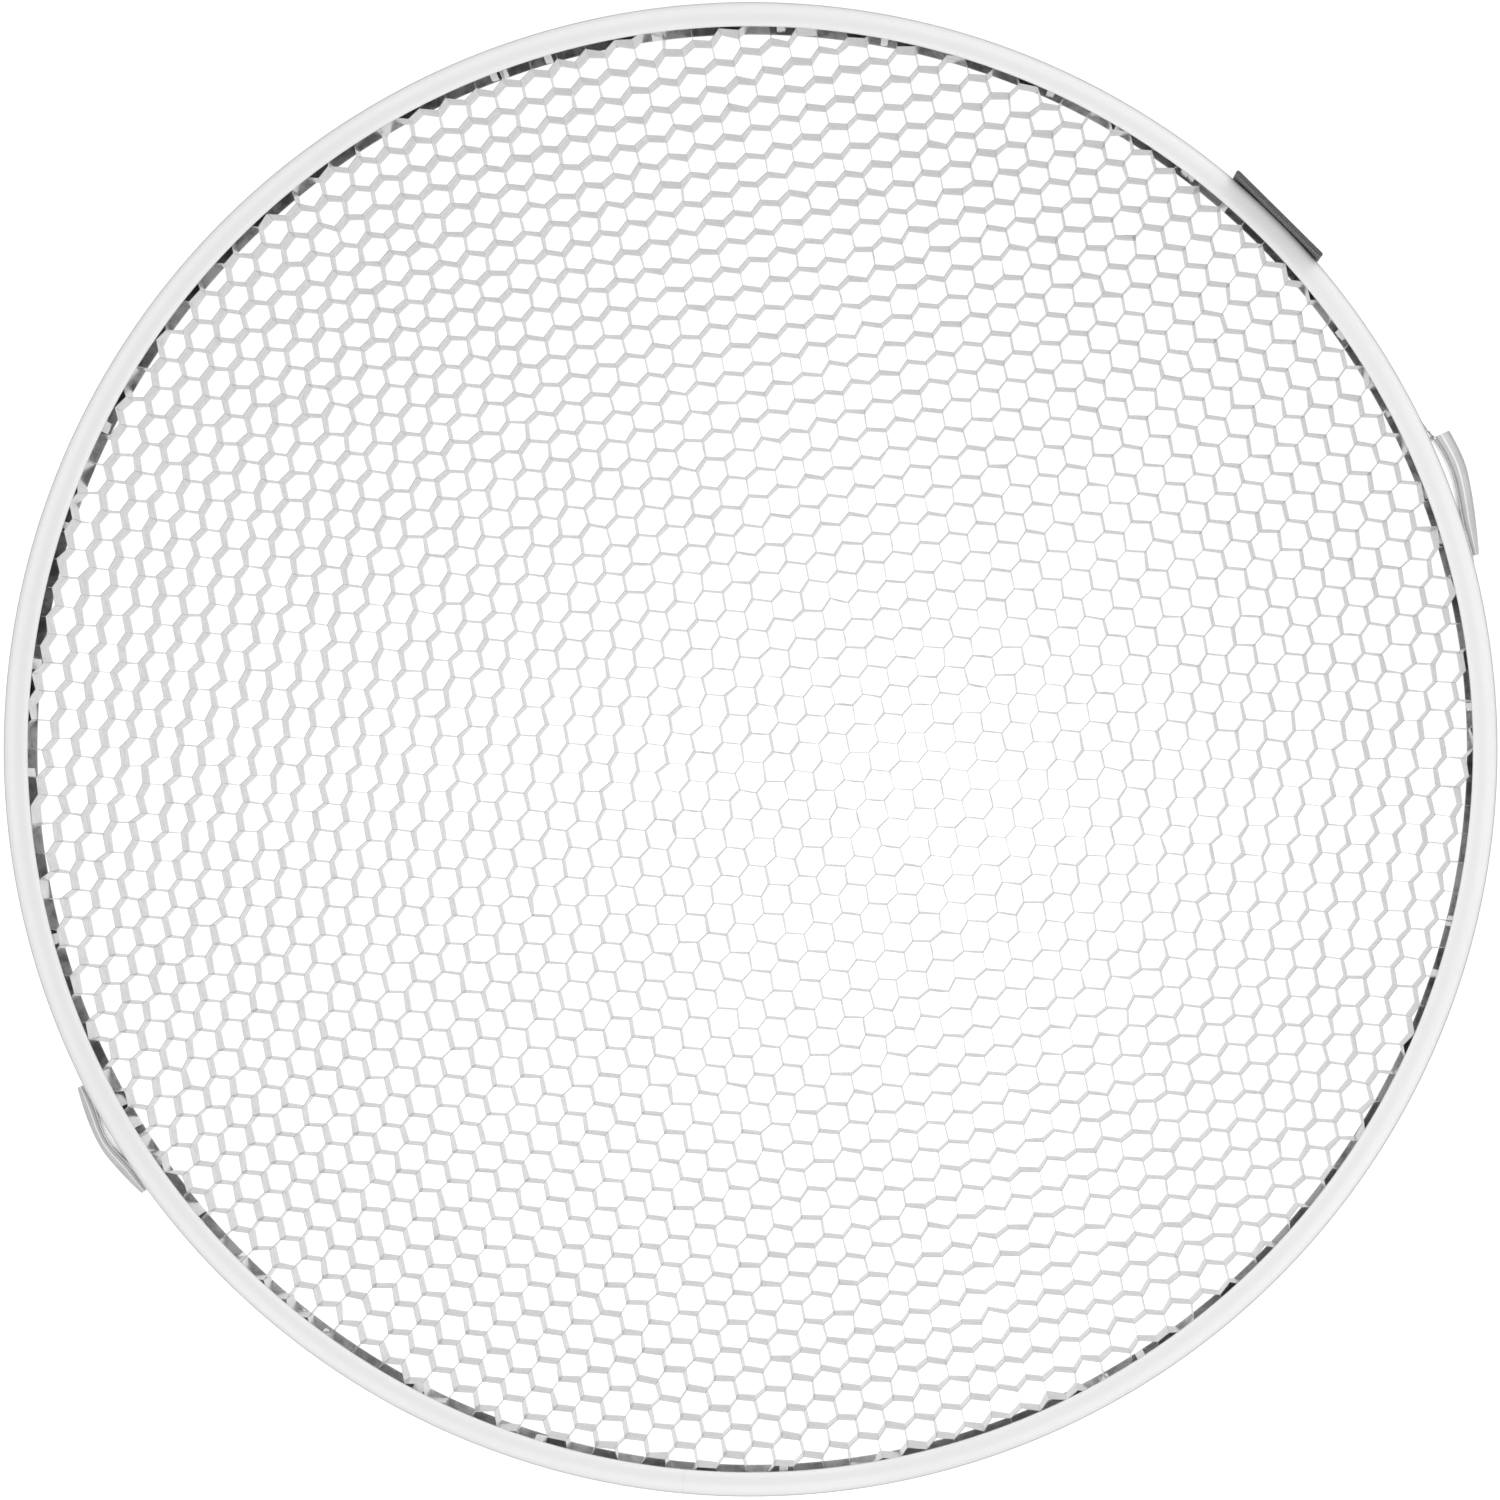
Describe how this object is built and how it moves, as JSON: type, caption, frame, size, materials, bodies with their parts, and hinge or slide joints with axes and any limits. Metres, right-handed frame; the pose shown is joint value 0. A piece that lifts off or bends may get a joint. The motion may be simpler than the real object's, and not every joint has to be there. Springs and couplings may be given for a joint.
{
  "type": "honeycomb grid",
  "caption": "Round honeycomb light grid: a metal channel ring around a foil honeycomb core, with sprung clips that hold it in a reflector and a webbing pull tab.",
  "frame": {"origin": "on the ring's axis, in the plane of its rear face, which is the face the grid stands on", "axes": "+Z along the ring's axis, out of the front face that light leaves by; +X to the side where clip_1 sits, so that clip_1 is at 20 degrees and the pull tab at 45 degrees round from +X towards +Y"},
  "size_m": [0.515, 0.515, 0.032],
  "materials": {
    "ring": "satin white powder coat over aluminium",
    "foil": "bright rolled foil",
    "spring_steel": "bright spring steel",
    "bumper": "smooth satin light grey",
    "webbing": "dark grey woven webbing",
    "rivet": "satin"
  },
  "bodies": {
    "grid": {"frame_ring": "ring", "splice_plate": "ring", "splice_rivet_1": "rivet", "splice_rivet_2": "rivet", "splice_rivet_3": "rivet", "splice_rivet_4": "rivet", "foil_ribbon_01": "foil", "foil_ribbon_02": "foil", "foil_ribbon_03": "foil", "foil_ribbon_04": "foil", "foil_ribbon_05": "foil", "foil_ribbon_06": "foil", "foil_ribbon_07": "foil", "foil_ribbon_08": "foil", "foil_ribbon_09": "foil", "foil_ribbon_10": "foil", "foil_ribbon_11": "foil", "foil_ribbon_12": "foil", "foil_ribbon_13": "foil", "foil_ribbon_14": "foil", "foil_ribbon_15": "foil", "foil_ribbon_16": "foil", "foil_ribbon_17": "foil", "foil_ribbon_18": "foil", "foil_ribbon_19": "foil", "foil_ribbon_20": "foil", "foil_ribbon_21": "foil", "foil_ribbon_22": "foil", "foil_ribbon_23": "foil", "foil_ribbon_24": "foil", "foil_ribbon_25": "foil", "foil_ribbon_26": "foil", "foil_ribbon_27": "foil", "foil_ribbon_28": "foil", "foil_ribbon_29": "foil", "foil_ribbon_30": "foil", "foil_ribbon_31": "foil", "foil_ribbon_32": "foil", "foil_ribbon_33": "foil", "clip_1_leaf_foot": "spring_steel", "clip_1_rivet_1": "rivet", "clip_1_rivet_2": "rivet", "clip_2_leaf_foot": "spring_steel", "clip_2_rivet_1": "rivet", "clip_2_rivet_2": "rivet", "tab_foot": "webbing", "tab_rivet_1": "rivet", "tab_rivet_2": "rivet"},
    "clip_1": {"clip_1_leaf_arm": "spring_steel", "clip_1_bumper": "bumper"},
    "clip_2": {"clip_2_leaf_arm": "spring_steel", "clip_2_bumper": "bumper"},
    "pull_tab": {"tab_flap": "webbing"}
  },
  "joints": [
    {"name": "clip_1_press", "type": "hinge", "parent": "grid", "child": "clip_1", "pos_m": [0.24773, 0.07244, 0.0115], "axis": [0, 0, 1], "range_deg": [0, 4], "stiffness_Nm_per_rad": 1},
    {"name": "clip_2_press", "type": "hinge", "parent": "grid", "child": "clip_2", "pos_m": [-0.22914, -0.11878, 0.0115], "axis": [0, 0, 1], "range_deg": [0, 3.5], "stiffness_Nm_per_rad": 1},
    {"name": "tab_flex", "type": "hinge", "parent": "grid", "child": "pull_tab", "pos_m": [0.1825, 0.18314, 0.0233], "axis": [-0.7083, 0.7059, 0], "range_deg": [-40, 60], "stiffness_Nm_per_rad": 0.01}
  ]
}
